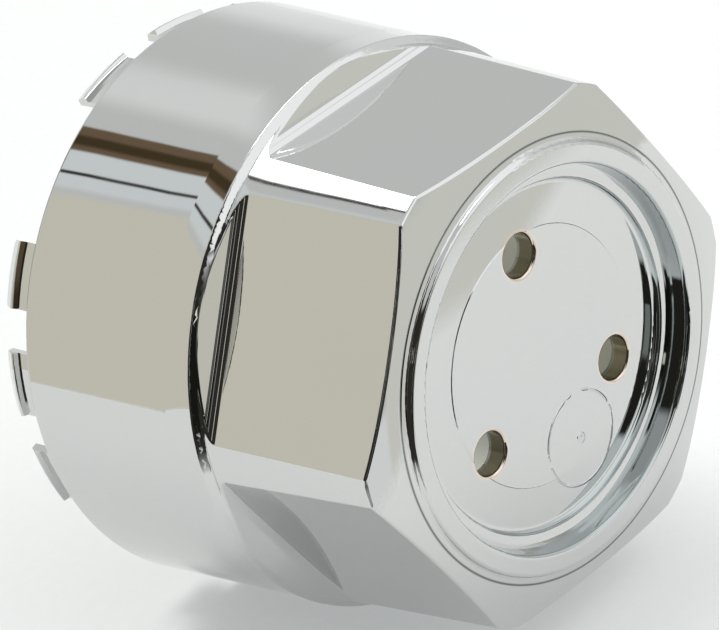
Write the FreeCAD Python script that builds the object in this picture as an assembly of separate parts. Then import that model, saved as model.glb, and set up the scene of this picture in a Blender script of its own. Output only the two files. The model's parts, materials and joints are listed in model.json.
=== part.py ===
import FreeCAD, Part
import math
import os

# A chromed hexagon centre cap for a road wheel, moulded in one piece: a round skirt with snap tabs
# at its back, a beaded shoulder, a tapered hexagon with rounded corners, and a raised lip round a
# stepped recess with three holes. Millimetres.
# The cap is drawn standing on its seat with its front up, and laid down at the end: the seat's
# centre is then the origin, the front looks along -Y, and one flat of the hexagon looks up.

# Driving dimensions
bore_d = 83.1            # bore of the wheel that the snap tabs enter
tab_clearance = 0.15     # between the tabs and that bore, on the radius
seat_width = 1.6         # ledge of the rim, outside the tabs, that bears on the wheel
wall = 2.8               # moulded wall
height = 63.3            # seat to the front face, where the lip starts
bead_z = 32.05           # seat to the crest of the bead
hex_foot_z = 33.6        # seat to the foot of the flats

skirt_draft = 2.4        # degrees, wider at the back
rim_round = 0.6          # outer edge of the seat
flare_len = 5.0          # hollow curve that leads up to the bead
bead_rise = 0.28         # bead above the line of the skirt
bead_len = 0.95          # front flank of the bead, from its crest to the turned corners
bead_ease = 0.35         # share of that flank over which each end keeps its direction
bead_drop = 1.22         # bead down to the turned corners, at the foot of the flats

corner_draft = 3.77      # degrees, turned corners, narrower at the front
hex_draft = 3.99         # degrees, flats, narrower at the front
lens_width = 4.02        # face between the bead and a flat, at its widest
lens_tilt = 12.0         # degrees, that face, further back at its outer edge
foot_fillet = 1.7        # foot of the flats
loop_fillet = 0.6        # edge that runs round each flat and its lens-shaped face
edge_fillet = 0.45       # front edge of the flats
crown_mid_drop = 0.5     # front face, from the lip down to the middle of a flat
crown_rim_drop = 3.61    # and down to the rim's circle, to which its curve would run on

face_width = 3.0         # flat of the hexagon to the foot of the lip, at the middle of a flat
lip_height = 0.86
lip_slope = 1.07         # width of the curved flank of the lip
lip_land = 2.0           # level top of the lip
mouth_round = 0.7        # rounded mouth of the recess
ledge_depth = 2.8        # top of the lip to the ledge in the recess wall
ledge_width = 0.6
outer_wall_lean = 0.35   # how far the upper wall leans in
inner_wall_lean = 1.2    # and the lower wall
recess_depth = 4.0       # top of the lip to the edge of the floor
floor_cove = 1.0         # curve from the lower wall to the floor
floor_rise = 0.3         # floor, from its edge up to the pad
pad_d = 38.1             # level pad in the middle of the floor
pad_step = 0.12          # edge of the pad

hole_d = 6.4
hole_circle_d = 32.4
hole_count = 3
hole_round = 0.5         # rounded edge of each hole

tab_groups = 4
tabs_in_group = 3
tab_pitch = 22.5         # degrees between tabs of a group
tab_start = 150.0        # degrees to the first tab, from +X towards the top flat
tab_width = 9.8
tab_length = 6.0         # seat to the tip
barb_start = 3.3         # seat to the retaining face of the barb
barb_height = 0.75
barb_face = 0.35         # lean of the retaining face
barb_land = 0.3          # level crest of the barb
tip_drop = 0.5           # outer edge of the tip, below the face of the tab
tip_corner_r = 0.9

roof_fillet = 1.5        # inside corners of the hollow

# Sizes that follow
tab_r = bore_d / 2 - tab_clearance
rim_r = tab_r + seat_width
hollow_r = rim_r - wall
skirt_slope = math.tan(math.radians(skirt_draft))
corner_slope = math.tan(math.radians(corner_draft))
hex_slope = math.tan(math.radians(hex_draft))
lens_slope = math.tan(math.radians(lens_tilt))
half_flat = math.radians(30)
same_place = 1e-4

bead_r = rim_r - skirt_slope * bead_z + bead_rise
corner_foot_r = bead_r - bead_drop
foot_apothem = corner_foot_r - lens_width
lip_top_z = height + lip_height
blank_top_z = lip_top_z + wall
floor_z = lip_top_z - recess_depth
pad_z = floor_z + floor_rise + pad_step
roof_z = floor_z - wall
face_apothem = foot_apothem - hex_slope * (height - hex_foot_z)
lip_base_r = face_apothem - face_width
lip_top_r = lip_base_r - lip_slope
mouth_r = lip_top_r - lip_land
upper_wall_r = mouth_r - mouth_round
ledge_r = upper_wall_r - outer_wall_lean
lower_wall_r = ledge_r - ledge_width
floor_r = lower_wall_r - inner_wall_lean - floor_cove


def skirt_r(z):
    return rim_r - skirt_slope * z


def hex_apothem(z):
    return foot_apothem - hex_slope * (z - hex_foot_z)


def corner_r(z):
    return corner_foot_r - corner_slope * (z - hex_foot_z)


def point(r, z):
    return FreeCAD.Vector(r, 0, z)


def line(a, b):
    return Part.makeLine(point(*a), point(*b))


def arc(a, middle, b):
    return Part.Arc(point(*a), point(*middle), point(*b)).toShape()


def bezier(*poles):
    curve = Part.BezierCurve()
    curve.setPoles([point(*pole) for pole in poles])
    return curve.toShape()


def quarter(a, b, centre):
    """A rounded edge from a to b, about a centre."""
    radius = math.dist(a, centre)
    half = ((a[0] + b[0]) / 2 - centre[0], (a[1] + b[1]) / 2 - centre[1])
    reach = math.hypot(*half)
    middle = (centre[0] + half[0] * radius / reach, centre[1] + half[1] * radius / reach)
    return arc(a, middle, b)


def revolve(edges, degrees=360):
    face = Part.Face(Part.Wire(edges))
    return face.revolve(FreeCAD.Vector(0, 0, 0), FreeCAD.Vector(0, 0, 1), degrees)


def s_curve(low, high):
    """Two equal arcs that rise from one level to another, level at both ends."""
    middle = ((low[0] + high[0]) / 2, (low[1] + high[1]) / 2)
    run = (high[0] - low[0]) / 2
    rise = (high[1] - low[1]) / 2
    turn = 2 * math.atan2(rise, abs(run))
    radius = abs(run) / math.sin(turn)
    side = math.copysign(radius * math.sin(turn / 2), run)
    lift = radius * (1 - math.cos(turn / 2))
    first = arc(low, (low[0] + side, low[1] + lift), middle)
    second = arc(middle, (high[0] - side, high[1] - lift), high)
    return first, second


def turned_blank():
    """The turned form behind the front face: skirt, bead and the cone of the hexagon's corners."""
    flare_z = bead_z - flare_len
    flare_foot = (skirt_r(flare_z), flare_z)
    bead = (bead_r, bead_z)
    third = flare_len / 3
    bead_slope = bead_rise / 2 / third
    run = bead_ease * bead_len
    corner_z = bead_z + bead_len
    corner_start = (corner_r(corner_z), corner_z)
    corner_top = (corner_r(blank_top_z), blank_top_z)
    return revolve([
        line((0, 0), (rim_r - rim_round, 0)),
        quarter((rim_r - rim_round, 0), (skirt_r(rim_round), rim_round), (rim_r - rim_round, rim_round)),
        line((skirt_r(rim_round), rim_round), flare_foot),
        bezier(
            flare_foot,
            (skirt_r(flare_z + third), flare_z + third),
            (bead_r - bead_slope * third, bead_z - third),
            bead,
        ),
        bezier(
            bead,
            (bead_r + bead_slope * run, bead_z + run),
            (corner_r(corner_z - run), corner_z - run),
            corner_start,
        ),
        line(corner_start, corner_top),
        line(corner_top, (0, blank_top_z)),
        line((0, blank_top_z), (0, 0)),
    ])


def flat_cutter(degrees):
    """What lies outside one flat and in front of one lens-shaped face, with the fillet between."""
    tilt = math.radians(lens_tilt)
    draft = math.radians(hex_draft)
    reach = 2 * rim_r
    top_z = blank_top_z + wall
    lens_end = (reach, hex_foot_z - lens_slope * (reach - foot_apothem))
    flat_end = (hex_apothem(top_z), top_z)
    half_turn = (math.pi / 2 + tilt + draft) / 2
    trim = foot_fillet / math.tan(half_turn)
    on_lens = (foot_apothem + trim * math.cos(tilt), hex_foot_z - trim * math.sin(tilt))
    on_flat = (foot_apothem - trim * math.sin(draft), hex_foot_z + trim * math.cos(draft))
    centre = (on_flat[0] + foot_fillet * math.cos(draft), on_flat[1] + foot_fillet * math.sin(draft))
    face = Part.Face(Part.Wire([
        line(lens_end, on_lens),
        quarter(on_lens, on_flat, centre),
        line(on_flat, flat_end),
        line(flat_end, (reach, top_z)),
        line((reach, top_z), lens_end),
    ]))
    face.translate(FreeCAD.Vector(0, -reach, 0))
    cutter = face.extrude(FreeCAD.Vector(0, 2 * reach, 0))
    cutter.rotate(FreeCAD.Vector(0, 0, 0), FreeCAD.Vector(0, 0, 1), degrees)
    return cutter


def front_cutter():
    """What lies in front of the crown, the lip and the recess."""
    crown_end = (rim_r, height - crown_rim_drop)
    lip_foot = (lip_base_r, height)
    lip_top = (lip_top_r, lip_top_z)
    mouth = (mouth_r, lip_top_z)
    upper_wall = (upper_wall_r, lip_top_z - mouth_round)
    ledge_z = lip_top_z - ledge_depth
    ledge_out = (ledge_r, ledge_z)
    ledge_in = (lower_wall_r, ledge_z)
    cove_top = (lower_wall_r - inner_wall_lean, floor_z + floor_cove)
    floor_edge = (floor_r, floor_z)
    pad_foot = (pad_d / 2, floor_z + floor_rise)
    pad_edge = (pad_d / 2 - pad_step, pad_z)
    top_z = blank_top_z + wall
    return revolve([
        arc(crown_end, (face_apothem, height - crown_mid_drop), lip_foot),
        *s_curve(lip_foot, lip_top),
        line(lip_top, mouth),
        quarter(mouth, upper_wall, (mouth_r, lip_top_z - mouth_round)),
        line(upper_wall, ledge_out),
        line(ledge_out, ledge_in),
        line(ledge_in, cove_top),
        quarter(cove_top, floor_edge, (floor_r, floor_z + floor_cove)),
        line(floor_edge, pad_foot),
        line(pad_foot, pad_edge),
        line(pad_edge, (0, pad_z)),
        line((0, pad_z), (0, top_z)),
        line((0, top_z), (rim_r, top_z)),
        line((rim_r, top_z), crown_end),
    ])


def flat_angles():
    """Directions of the flats in degrees. One looks along +Y."""
    return [30 + 60 * side for side in range(6)]


def loop_edges(shape):
    """The edges where the flats meet the turned corners. Each leads on round the face behind it."""
    found = []
    for edge in shape.Edges:
        middle = edge.valueAt((edge.FirstParameter + edge.LastParameter) / 2)
        angle = math.degrees(math.atan2(middle.y, middle.x))
        reach = math.hypot(middle.x, middle.y)
        out = max(reach * math.cos(math.radians(angle - flat)) for flat in flat_angles())
        on_flat = abs(out - hex_apothem(middle.z)) < same_place
        on_corner = abs(reach - corner_r(middle.z)) < same_place
        if on_flat and on_corner:
            found.append(edge)
    return found


def pocket_hexagon(z):
    """A section of the pocket behind the front, a wall inside the flats and the turned corners."""
    apothem = hex_apothem(z) - wall
    sharp_corner = apothem / math.cos(half_flat)
    even_r = (sharp_corner - corner_r(z) + wall) / (1 / math.cos(half_flat) - 1)
    round_r = max(wall, even_r)
    wire_edges = []
    half_side = (apothem - round_r) * math.tan(half_flat)
    corner_mid = (apothem - round_r) / math.cos(half_flat) + round_r

    def place(along, out, turn):
        c, s = math.cos(turn), math.sin(turn)
        return FreeCAD.Vector(out * c - along * s, out * s + along * c, z)

    for flat in flat_angles():
        turn = math.radians(flat)
        start = place(-half_side, apothem, turn)
        end = place(half_side, apothem, turn)
        corner = place(0, corner_mid, turn + half_flat)
        following = place(-half_side, apothem, turn + 2 * half_flat)
        wire_edges.append(Part.makeLine(start, end))
        wire_edges.append(Part.Arc(end, corner, following).toShape())
    return Part.Wire(wire_edges)


def lies_at(edge, z):
    box = edge.BoundBox
    return abs(box.ZMin - z) < same_place and abs(box.ZMax - z) < same_place


def front_edges(shape):
    """The edges between the crown and the flats and corners of the hexagon."""
    low = height - crown_rim_drop
    found = []
    for edge in shape.Edges:
        box = edge.BoundBox
        middle = edge.valueAt((edge.FirstParameter + edge.LastParameter) / 2)
        reach = math.hypot(middle.x, middle.y)
        if box.ZMin > low and box.ZMax < height and reach > lip_base_r + face_width / 2:
            found.append(edge)
    return found


def hollow():
    """The inside: a tapered round under the skirt and a hexagonal pocket above it."""
    shelf_z = hex_foot_z - lens_slope * lens_width - wall
    start_z = -tab_length
    round_part = Part.makeCone(
        hollow_r - skirt_slope * start_z,
        hollow_r - skirt_slope * shelf_z,
        shelf_z - start_z,
        FreeCAD.Vector(0, 0, start_z),
    )
    shelf_edges = [edge for edge in round_part.Edges if lies_at(edge, shelf_z)]
    round_part = round_part.makeFillet(roof_fillet, shelf_edges)
    pocket = Part.makeLoft([pocket_hexagon(shelf_z - wall), pocket_hexagon(roof_z)], True, True)
    roof_edges = [edge for edge in pocket.Edges if lies_at(edge, roof_z)]
    pocket = pocket.makeFillet(roof_fillet, roof_edges)
    return round_part.fuse(pocket)


def hole_cutter(degrees):
    """One hole through the floor, with a rounded edge at the front."""
    r = hole_d / 2
    lip = (r + hole_round, pad_z)
    neck = (r, pad_z - hole_round)
    above = pad_z + wall
    below = roof_z - wall
    cutter = revolve([
        line((0, below), (r, below)),
        line((r, below), neck),
        quarter(neck, lip, (r + hole_round, pad_z - hole_round)),
        line(lip, (r + hole_round, above)),
        line((r + hole_round, above), (0, above)),
        line((0, above), (0, below)),
    ])
    turn = math.radians(degrees)
    cutter.translate(FreeCAD.Vector(math.cos(turn), math.sin(turn), 0) * (hole_circle_d / 2))
    return cutter


def tab():
    """One snap tab on the +X side: a curved tongue with a barb near its tip."""
    root_z = wall / 2
    crest_z = -barb_start - barb_face
    crest_r = tab_r + barb_height
    outline = [
        (hollow_r, root_z),
        (tab_r, root_z),
        (tab_r, -barb_start),
        (crest_r, crest_z),
        (crest_r, crest_z - barb_land),
        (tab_r - tip_drop, -tab_length),
        (hollow_r, -tab_length),
    ]
    edges = [line(a, b) for a, b in zip(outline, outline[1:] + outline[:1])]
    spread = math.degrees(tab_width / tab_r)
    tongue = revolve(edges, spread)
    tongue.rotate(FreeCAD.Vector(0, 0, 0), FreeCAD.Vector(0, 0, 1), -spread / 2)
    # The tip's two corners are rounded in the view from outside.
    blank_top = root_z + wall
    half = tab_width / 2
    reach = crest_r + wall
    blank = Part.makeBox(reach, 2 * half, blank_top + tab_length, FreeCAD.Vector(0, -half, -tab_length))
    tip_edges = [
        edge for edge in blank.Edges
        if lies_at(edge, -tab_length) and edge.BoundBox.XLength > half
    ]
    return tongue.common(blank.makeFillet(tip_corner_r, tip_edges))


def tabs():
    made = []
    for group in range(tab_groups):
        for place in range(tabs_in_group):
            turn = tab_start + group * 360 / tab_groups + place * tab_pitch
            copy = tab()
            copy.rotate(FreeCAD.Vector(0, 0, 0), FreeCAD.Vector(0, 0, 1), turn)
            made.append(copy)
    return made


def centre_cap():
    outside = turned_blank().cut([flat_cutter(flat) for flat in flat_angles()])
    outside = outside.makeFillet(loop_fillet, loop_edges(outside))
    outside = outside.cut(front_cutter())
    outside = outside.makeFillet(edge_fillet, front_edges(outside))
    shell = outside.cut(hollow())
    shell = shell.cut([hole_cutter(90 + hole * 360 / hole_count) for hole in range(hole_count)])
    cap = shell.fuse(tabs())
    # Front from up to -Y, and the flat that looked along +Y up.
    cap.rotate(FreeCAD.Vector(0, 0, 0), FreeCAD.Vector(1, 0, 0), 90)
    return cap


os.makedirs("parts", exist_ok=True)
cap = centre_cap()
if len(cap.Solids) != 1 or not cap.isValid():
    raise ValueError("the cap is not one sound solid")
cap.Solids[0].exportStep("parts/center_cap.step")
print("volume cm3", round(cap.Volume / 1000, 2), "box", cap.BoundBox)
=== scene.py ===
import json
import math
from collections import namedtuple

import bpy
from mathutils import Matrix, Vector


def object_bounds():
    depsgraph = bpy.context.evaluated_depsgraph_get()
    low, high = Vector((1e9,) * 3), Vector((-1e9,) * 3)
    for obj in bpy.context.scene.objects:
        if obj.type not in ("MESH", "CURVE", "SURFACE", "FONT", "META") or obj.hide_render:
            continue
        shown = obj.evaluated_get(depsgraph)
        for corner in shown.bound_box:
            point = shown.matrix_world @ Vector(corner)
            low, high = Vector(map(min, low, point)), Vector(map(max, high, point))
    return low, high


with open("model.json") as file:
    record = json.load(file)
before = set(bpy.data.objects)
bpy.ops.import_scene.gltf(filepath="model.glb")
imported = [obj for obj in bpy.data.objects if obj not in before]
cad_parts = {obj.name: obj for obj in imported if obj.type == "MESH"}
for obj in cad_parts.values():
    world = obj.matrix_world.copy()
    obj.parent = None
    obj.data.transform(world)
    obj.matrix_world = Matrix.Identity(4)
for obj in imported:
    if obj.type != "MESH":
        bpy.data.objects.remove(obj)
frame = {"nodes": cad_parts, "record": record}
cad_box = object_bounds()
cap = frame["nodes"]["center_cap"]
mounts = {mount["name"]: mount for mount in frame["record"]["mounts"]}

# Lengths are in metres and angles in degrees. An azimuth runs from behind the cap, +Y, towards +X.
MM = 0.001
CAP_AXIS = (0.0, 1.0, 0.0)

# The photograph's view
IMAGE_WIDTH = 719
FOCAL_PIXELS = 4541.0
SENSOR_WIDTH_MM = 36.0
VIEW_AZIMUTH = 221.86
VIEW_ELEVATION = 26.90
VIEW_ROLL = 14.03
VIEW_DISTANCE = 0.65225
VIEW_AIM = Vector((-0.00599, -0.032, 0.00453))
VIEW_NEAREST = 0.01
VIEW_FARTHEST = 10.0

# The floor: a round pale table top that ends close in front of the cap and runs far behind it
FLOOR_RADIUS = 0.344
FLOOR_FADE = 0.012
FLOOR_CENTRE = (0.136, 0.166)
FLOOR_SIDES = 128
FLOOR_PALE = (0.60, 0.598, 0.585)
FLOOR_SPECKLE = (0.565, 0.565, 0.559)
FLOOR_GRAIN = 2 * MM
FLOOR_ROUGHNESS = 0.9
FLOOR_SPECULAR = 0.1
FLOOR_GLOW_COLOUR = (0.58, 0.605, 0.61)
FLOOR_GLOW = 0.50

# A soft lamp in front, on the right, that lights the floor and is not mirrored in the cap
LAMP_AZIMUTH = 140.0
LAMP_ELEVATION = 40.0
LAMP_DISTANCE = 0.6
LAMP_SIZE = 0.3
LAMP_WATTS = 0.6

# The plating's colours, with painted shade for the recess walls and the foot of the lip
CHROME_COOL = (0.625, 0.635, 0.64)
CHROME_WARM = (0.645, 0.64, 0.63)
# Painted shade: a darker, cooler tone that stands for the shade on the walls of the recess
RECESS_WALL_SHADE = (0.46, 0.50, 0.50)
# Painted shade: a dark tone for the line in the crease at the foot of the lip
LIP_SHADOW = (0.16, 0.17, 0.165)
COPPER = (0.74, 0.655, 0.575)
BARE_BROWN = (0.36, 0.32, 0.23)
DULL_PLATE = (0.36, 0.36, 0.32)
TINT_ACROSS = 22 * MM

# The plating's polish: its roughness from clear to hazy, what a dull face adds to it, and low waves
POLISH = (0.015, 0.05)
HAZE_ACROSS = 6 * MM
DULL_ROUGHNESS = 0.35
BORE_DULLNESS = 0.5
WAVES_ACROSS = 20 * MM
WAVE_HEIGHT = 0.004 * MM

# The recess and its holes. A depth runs forward from the rear seat.
SEAT_DEPTH = -mounts["emblem_seat"]["pos_m"][1]
FRONT_DEPTHS = (SEAT_DEPTH - 1.0 * MM, SEAT_DEPTH - 0.5 * MM)
WALL = 2.8 * MM
ROOF_DEPTH = SEAT_DEPTH - WALL
HOLE_CIRCLE_R = mounts["emblem_holes"]["dims"]["pcd_mm"] / 2 * MM
HOLE_R = mounts["emblem_holes"]["dims"]["hole_r_mm"] * MM
HOLE_COUNT = mounts["emblem_holes"]["dims"]["count"]
FIRST_HOLE_ANGLE = 90.0
HOLE_RIM_R = HOLE_R + 0.55 * MM
BORE_EDGE = (HOLE_R + 0.08 * MM, HOLE_R + 0.04 * MM)
EDGE = 0.1 * MM

# Which faces count as the hollow's and as the recess walls, by how far they look outward or back
HOLLOW_START = 1.0 * MM
HOLLOW_EDGE = 0.2 * MM
HOLLOW_OUTWARD = (-0.2, -0.4)
HOLLOW_BACK = (0.6, 0.8)
RECESS_OUTWARD = (-0.3, -0.6)

# Moulding marks: a broken ring with a dot on the recess floor, and a shallow line round the foot of the lip,
# which also carries painted shade
GATE_ANGLE = -76.0
GATE_RING_R = 7.1 * MM
GATE_DOT_R = 0.7 * MM
GATE_LINE = 0.25 * MM
GATE_HEIGHT = 0.12 * MM
GATE_BREAKS = (0.36, 0.48)
BREAKS_ACROSS = 3 * MM
LIP_FOOT_R = 32.3 * MM
LIP_LINE = 0.3 * MM
LIP_LINE_DEPTH = 0.04 * MM

# Turned faces: the front inside one radius, and the skirt outside another
TURNED_R = 33.2 * MM
SKIRT_DEPTHS = (0.5 * MM, 32.8 * MM)
SKIRT_R = 40.8 * MM
SKIRT_EDGE = 0.05 * MM


def direction(azimuth, elevation):
    """The unit vector that points along an azimuth and an elevation."""
    turn, rise = math.radians(azimuth), math.radians(elevation)
    return Vector((math.sin(turn) * math.cos(rise), math.cos(turn) * math.cos(rise), math.sin(rise)))


# Small helpers that write node trees

def new_tree(owner):
    owner.use_nodes = True
    tree = owner.node_tree
    tree.nodes.clear()
    return tree


def put(socket, value, tree):
    """Links a node's output to a socket, or sets a plain value on it."""
    if isinstance(value, bpy.types.NodeSocket):
        tree.links.new(value, socket)
    elif isinstance(value, tuple) and len(value) == 3 and socket.type == "RGBA":
        socket.default_value = (*value, 1.0)
    else:
        socket.default_value = value


def operate(tree, kind, operation, values):
    node = tree.nodes.new(kind)
    node.operation = operation
    for socket, value in zip(node.inputs, values):
        put(socket, value, tree)
    return node.outputs


def calc(tree, operation, *values):
    return operate(tree, "ShaderNodeMath", operation, values)[0]


def vector_calc(tree, operation, *values):
    """A vector operation, which gives a number for a length or a dot product."""
    outputs = operate(tree, "ShaderNodeVectorMath", operation, values)
    return outputs["Value" if operation in ("LENGTH", "DOT_PRODUCT") else "Vector"]


def product(tree, first, *others):
    for other in others:
        first = calc(tree, "MULTIPLY", first, other)
    return first


def hypotenuse(tree, across, up):
    return calc(tree, "SQRT", calc(tree, "ADD", product(tree, across, across), product(tree, up, up)))


def split(tree, vector):
    node = tree.nodes.new("ShaderNodeSeparateXYZ")
    put(node.inputs[0], vector, tree)
    return node.outputs


def ease(tree, value, start, end):
    """0 before start, 1 after end, and a smooth step between them.

    With end before start it falls instead.
    """
    node = tree.nodes.new("ShaderNodeMapRange")
    node.interpolation_type = "SMOOTHSTEP"
    falls = end < start
    put(node.inputs["Value"], value, tree)
    node.inputs["From Min"].default_value = min(start, end)
    node.inputs["From Max"].default_value = max(start, end)
    node.inputs["To Min"].default_value = 1.0 if falls else 0.0
    node.inputs["To Max"].default_value = 0.0 if falls else 1.0
    return node.outputs["Result"]


def window(tree, value, low, high, soft):
    """1 between low and high, with edges as wide as soft on each side of both."""
    rise = ease(tree, value, low - soft, low + soft)
    fall = ease(tree, value, high + soft, high - soft)
    return product(tree, rise, fall)


def line(tree, distance, middle, width):
    """1 at the middle of a line, falling to 0 a full width away from it."""
    return window(tree, distance, middle - width / 2, middle + width / 2, width / 2)


def blend(tree, share, first, second):
    node = tree.nodes.new("ShaderNodeMix")
    node.data_type = "RGBA"
    put(node.inputs["Factor"], share, tree)
    put(node.inputs["A"], first, tree)
    put(node.inputs["B"], second, tree)
    return next(output for output in node.outputs if output.type == "RGBA")


def slide(tree, share, low, high):
    """A plain number that runs from low to high with a share."""
    return calc(tree, "MULTIPLY_ADD", share, high - low, low)


def noise(tree, where, across, detail=3.0):
    """Soft noise whose lumps are about so many metres across."""
    node = tree.nodes.new("ShaderNodeTexNoise")
    put(node.inputs["Vector"], where, tree)
    node.inputs["Scale"].default_value = 1 / across
    node.inputs["Detail"].default_value = detail
    return node.outputs["Fac"]


def finish_surface(tree, shader):
    output = tree.nodes.new("ShaderNodeOutputMaterial")
    put(output.inputs["Surface"], shader.outputs[0], tree)


# The studio round the cap: soft cards on a pale room, each with its ranges of azimuth and elevation.
# A later card covers an earlier one.

Card = namedtuple("Card", "azimuth elevation soft colour")

ROOM = (0.71, 0.725, 0.715)
SOFTBOX = (5.5, 5.5, 5.5)
WHITE = (1.25, 1.27, 1.28)
WARM_WHITE = (1.09, 1.075, 0.955)
PALE = (0.92, 0.935, 0.93)
BLUE_GREY = (0.82, 0.87, 0.87)
BEIGE = (0.77, 0.755, 0.64)
DIM_BEIGE = (0.81, 0.815, 0.75)
GREY = (0.40, 0.41, 0.40)
DIM = (0.115, 0.12, 0.115)
BROWN = (0.18, 0.124, 0.077)
DARK_BROWN = (0.070, 0.049, 0.024)
DARK = (0.035, 0.033, 0.028)
BLACK = (0.012, 0.013, 0.011)
BACKDROP = (1.0, 1.0, 1.0)
CARDS = [
    Card((40.0, 70.0), (-40.0, 12.0), 8.0, PALE),
    Card((10.0, 32.0), (40.0, 56.0), 6.0, PALE),
    Card((95.0, 165.0), (8.0, 80.0), 4.0, PALE),
    Card((128.0, 200.0), (11.0, 60.0), 3.0, WHITE),
    Card((110.0, 166.0), (-40.0, 2.0), 3.0, DIM_BEIGE),
    Card((-30.0, -16.0), (-30.0, 70.0), 1.0, BLUE_GREY),
    Card((-62.0, -32.0), (-40.0, 46.0), 1.0, BEIGE),
    Card((-170.0, -62.0), (-80.0, -20.0), 3.0, GREY),
    Card((-170.0, -62.0), (-27.0, 46.0), 3.0, DARK),
    Card((-196.0, -145.0), (-22.0, 7.0), 2.0, BLACK),
    Card((-197.0, -160.0), (-80.0, -21.0), 2.0, PALE),
    Card((-102.5, -99.2), (20.5, 27.5), 0.4, WARM_WHITE),
    Card((-143.0, -139.0), (-8.0, 20.0), 0.7, GREY),
    Card((-190.0, -170.0), (-10.0, 9.0), 4.0, DIM),
    Card((-166.3, -163.3), (0.6, 3.7), 0.4, WARM_WHITE),
    Card((62.0, 135.0), (43.0, 80.0), 3.0, WHITE),
    Card((-16.0, -4.5), (-30.0, 51.5), 0.7, BROWN),
    Card((-13.5, -9.0), (-30.0, 51.5), 1.0, DARK_BROWN),
    Card((-25.5, -24.3), (-30.0, 52.0), 0.4, DARK),
    Card((-11.0, 65.0), (52.0, 88.0), 1.2, SOFTBOX),
    Card((-12.6, -11.4), (50.0, 58.0), 0.4, DARK),
]


def studio():
    world = bpy.data.worlds.new("studio")
    bpy.context.scene.world = world
    tree = new_tree(world)
    coords = tree.nodes.new("ShaderNodeTexCoord")
    x, y, z = split(tree, coords.outputs["Generated"])
    azimuth = calc(tree, "DEGREES", calc(tree, "ARCTAN2", x, y))
    elevation = calc(tree, "DEGREES", calc(tree, "ARCSINE", z))
    colour = ROOM
    for card in CARDS:
        middle = sum(card.azimuth) / 2
        half = card.azimuth[1] - middle
        turn = calc(tree, "WRAP", calc(tree, "SUBTRACT", azimuth, middle), 180.0, -180.0)
        across = window(tree, turn, -half, half, card.soft)
        up = window(tree, elevation, *card.elevation, card.soft)
        colour = blend(tree, product(tree, across, up), colour, card.colour)
    path = tree.nodes.new("ShaderNodeLightPath")
    colour = blend(tree, path.outputs["Is Camera Ray"], colour, BACKDROP)
    background = tree.nodes.new("ShaderNodeBackground")
    put(background.inputs["Color"], colour, tree)
    output = tree.nodes.new("ShaderNodeOutputWorld")
    put(output.inputs["Surface"], background.outputs[0], tree)


def pale_floor():
    """A pale matt table top with a faint glow of its own, which fades out at its edge."""
    material = bpy.data.materials.new("pale_floor")
    tree = new_tree(material)
    where = tree.nodes.new("ShaderNodeTexCoord").outputs["Object"]
    speckle = noise(tree, where, FLOOR_GRAIN, detail=5.0)
    inside = ease(tree, vector_calc(tree, "LENGTH", where), FLOOR_RADIUS, FLOOR_RADIUS - FLOOR_FADE)
    paint = tree.nodes.new("ShaderNodeBsdfPrincipled")
    put(paint.inputs["Base Color"], blend(tree, speckle, FLOOR_PALE, FLOOR_SPECKLE), tree)
    paint.inputs["Roughness"].default_value = FLOOR_ROUGHNESS
    paint.inputs["Specular IOR Level"].default_value = FLOOR_SPECULAR
    put(paint.inputs["Emission Color"], FLOOR_GLOW_COLOUR, tree)
    paint.inputs["Emission Strength"].default_value = FLOOR_GLOW
    put(paint.inputs["Alpha"], inside, tree)
    finish_surface(tree, paint)
    return material


def floor():
    bpy.ops.mesh.primitive_circle_add(vertices=FLOOR_SIDES, radius=FLOOR_RADIUS, fill_type="NGON")
    disc = bpy.context.object
    disc.name = "floor"
    disc.location = (*FLOOR_CENTRE, cad_box[0].z)
    disc.data.materials.append(pale_floor())


def lamp():
    away = direction(LAMP_AZIMUTH, LAMP_ELEVATION)
    data = bpy.data.lights.new("front_lamp", "AREA")
    data.size = LAMP_SIZE
    data.energy = LAMP_WATTS
    light = bpy.data.objects.new("front_lamp", data)
    light.location = away * LAMP_DISTANCE
    light.rotation_euler = (-away).to_track_quat("-Z", "Y").to_euler()
    light.visible_glossy = False
    bpy.context.scene.collection.objects.link(light)


# The plating. Its masks are 1 where a part of the cap is and 0 elsewhere.

Spot = namedtuple("Spot", "where x z radius depth outward back to_hole front")


def distance_to(tree, across, up, angle, radius):
    """How far a point of the front view is from a place given by its angle and its radius."""
    turn = math.radians(angle)
    aside = calc(tree, "SUBTRACT", across, radius * math.cos(turn))
    above = calc(tree, "SUBTRACT", up, radius * math.sin(turn))
    return hypotenuse(tree, aside, above)


def spot_on_cap(tree, facing):
    """What the masks need to know of a point: its place, how it faces and how near a hole is."""
    where = tree.nodes.new("ShaderNodeTexCoord").outputs["Object"]
    x, y, z = split(tree, where)
    radius = hypotenuse(tree, x, z)
    depth = calc(tree, "MULTIPLY", y, -1.0)
    facing_x, back, facing_z = split(tree, facing)
    outward = calc(tree, "ADD", product(tree, facing_x, x), product(tree, facing_z, z))
    outward = calc(tree, "DIVIDE", outward, radius)
    to_hole = distance_to(tree, x, z, FIRST_HOLE_ANGLE, HOLE_CIRCLE_R)
    for number in range(1, HOLE_COUNT):
        angle = FIRST_HOLE_ANGLE + number * 360 / HOLE_COUNT
        to_hole = calc(tree, "MINIMUM", to_hole, distance_to(tree, x, z, angle, HOLE_CIRCLE_R))
    front = ease(tree, depth, *FRONT_DEPTHS)
    return Spot(where, x, z, radius, depth, outward, back, to_hole, front)


def hole_masks(tree, spot):
    """The bores of the holes, and the bores with their rims."""
    before_roof = ease(tree, spot.depth, ROOF_DEPTH, ROOF_DEPTH + EDGE)
    bore = ease(tree, spot.to_hole, *BORE_EDGE)
    rim = ease(tree, spot.to_hole, HOLE_RIM_R + EDGE, HOLE_RIM_R)
    return product(tree, bore, before_roof), product(tree, rim, before_roof)


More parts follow.
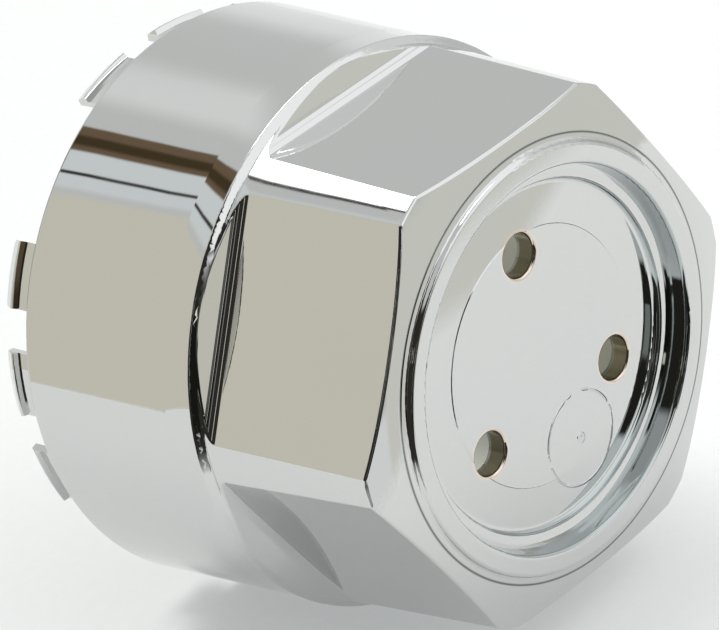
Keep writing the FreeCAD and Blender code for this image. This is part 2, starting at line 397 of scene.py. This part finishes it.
def hollow_mask(tree, spot):
    """The inside, which looks back or towards the axis."""
    looks_in = ease(tree, spot.outward, *HOLLOW_OUTWARD)
    looks_back = ease(tree, spot.back, *HOLLOW_BACK)
    depths = window(tree, spot.depth, HOLLOW_START, ROOF_DEPTH, HOLLOW_EDGE)
    return product(tree, calc(tree, "MAXIMUM", looks_in, looks_back), depths)


def gate_mask(tree, spot):
    """A ring with gaps and a dot in it, left by the mould on the floor of the recess."""
    gate = distance_to(tree, spot.x, spot.z, GATE_ANGLE, HOLE_CIRCLE_R)
    ring = line(tree, gate, GATE_RING_R, GATE_LINE)
    dot = ease(tree, gate, GATE_DOT_R + GATE_LINE, GATE_DOT_R)
    unbroken = ease(tree, noise(tree, spot.where, BREAKS_ACROSS, detail=2.0), *GATE_BREAKS)
    return product(tree, calc(tree, "ADD", ring, dot), spot.front, unbroken)


def turned_mask(tree, spot):
    """The turned faces: the front without its holes, and the skirt."""
    face = ease(tree, spot.radius, TURNED_R, TURNED_R - EDGE)
    off_holes = ease(tree, spot.to_hole, HOLE_RIM_R, HOLE_RIM_R + EDGE)
    skirt = window(tree, spot.depth, *SKIRT_DEPTHS, SKIRT_EDGE)
    outside = ease(tree, spot.radius, SKIRT_R - SKIRT_EDGE, SKIRT_R)
    return calc(
        tree, "MAXIMUM",
        product(tree, spot.front, face, off_holes),
        product(tree, skirt, outside),
    )


def turned_normal(tree, normal, where, share):
    """The normal without its part along the turning direction, so that a face mirrors in clean lines."""
    along = vector_calc(tree, "NORMALIZE", vector_calc(tree, "CROSS_PRODUCT", CAP_AXIS, where))
    sideways = product(tree, vector_calc(tree, "DOT_PRODUCT", normal, along), share)
    rest = vector_calc(tree, "SUBTRACT", normal, vector_calc(tree, "MULTIPLY", along, sideways))
    return vector_calc(tree, "NORMALIZE", rest)


def chrome():
    """Bright plating with haze, low waves and moulding marks, copper rims at the holes and a dull inside,
    with painted shade on the recess walls and along the foot of the lip.
    """
    material = bpy.data.materials.new("chrome_plate")
    tree = new_tree(material)
    geometry = tree.nodes.new("ShaderNodeNewGeometry")
    spot = spot_on_cap(tree, geometry.outputs["True Normal"])
    bore, rim = hole_masks(tree, spot)
    hollow = hollow_mask(tree, spot)
    # Painted shade on the walls of the recess, which look in towards the axis
    recess_wall_shade = product(tree, spot.front, ease(tree, spot.outward, *RECESS_OUTWARD))
    # The line round the foot of the lip: a shallow groove in the bump, and painted shade in the tint
    lip_groove_and_shade = product(tree, line(tree, spot.radius, LIP_FOOT_R, LIP_LINE), spot.front)

    tint = blend(tree, noise(tree, spot.where, TINT_ACROSS), CHROME_COOL, CHROME_WARM)
    tint = blend(tree, recess_wall_shade, tint, RECESS_WALL_SHADE)
    tint = blend(tree, lip_groove_and_shade, tint, LIP_SHADOW)
    tint = blend(tree, rim, tint, COPPER)
    tint = blend(tree, bore, tint, BARE_BROWN)
    tint = blend(tree, hollow, tint, DULL_PLATE)

    haze = slide(tree, noise(tree, spot.where, HAZE_ACROSS, detail=6.0), *POLISH)
    dull = calc(tree, "MAXIMUM", hollow, calc(tree, "MULTIPLY", bore, BORE_DULLNESS))
    rough = calc(tree, "MULTIPLY_ADD", dull, DULL_ROUGHNESS, haze)

    height = calc(tree, "MULTIPLY", noise(tree, spot.where, WAVES_ACROSS, detail=1.0), WAVE_HEIGHT)
    height = calc(tree, "MULTIPLY_ADD", gate_mask(tree, spot), GATE_HEIGHT, height)
    height = calc(tree, "MULTIPLY_ADD", lip_groove_and_shade, -LIP_LINE_DEPTH, height)
    normal = turned_normal(tree, geometry.outputs["Normal"], spot.where, turned_mask(tree, spot))
    bump = tree.nodes.new("ShaderNodeBump")
    bump.inputs["Strength"].default_value = 1.0
    bump.inputs["Distance"].default_value = 1.0
    put(bump.inputs["Height"], height, tree)
    put(bump.inputs["Normal"], normal, tree)

    shader = tree.nodes.new("ShaderNodeBsdfPrincipled")
    shader.inputs["Metallic"].default_value = 1.0
    put(shader.inputs["Base Color"], tint, tree)
    put(shader.inputs["Roughness"], rough, tree)
    put(shader.inputs["Normal"], bump.outputs[0], tree)
    finish_surface(tree, shader)
    return material


def camera():
    back = direction(VIEW_AZIMUTH, VIEW_ELEVATION)
    level = (-back).to_track_quat("-Z", "Y").to_matrix().to_4x4()
    roll = Matrix.Rotation(math.radians(-VIEW_ROLL), 4, "Z")
    data = bpy.data.cameras.new("photo_view")
    data.sensor_fit = "HORIZONTAL"
    data.sensor_width = SENSOR_WIDTH_MM
    data.lens = FOCAL_PIXELS * SENSOR_WIDTH_MM / IMAGE_WIDTH
    data.clip_start = VIEW_NEAREST
    data.clip_end = VIEW_FARTHEST
    view = bpy.data.objects.new("photo_view", data)
    view.matrix_world = Matrix.Translation(VIEW_AIM + back * VIEW_DISTANCE) @ level @ roll
    bpy.context.scene.collection.objects.link(view)
    bpy.context.scene.camera = view


studio()
lamp()
floor()
cap.data.materials.clear()
cap.data.materials.append(chrome())
camera()
bpy.context.scene.view_settings.view_transform = "Standard"
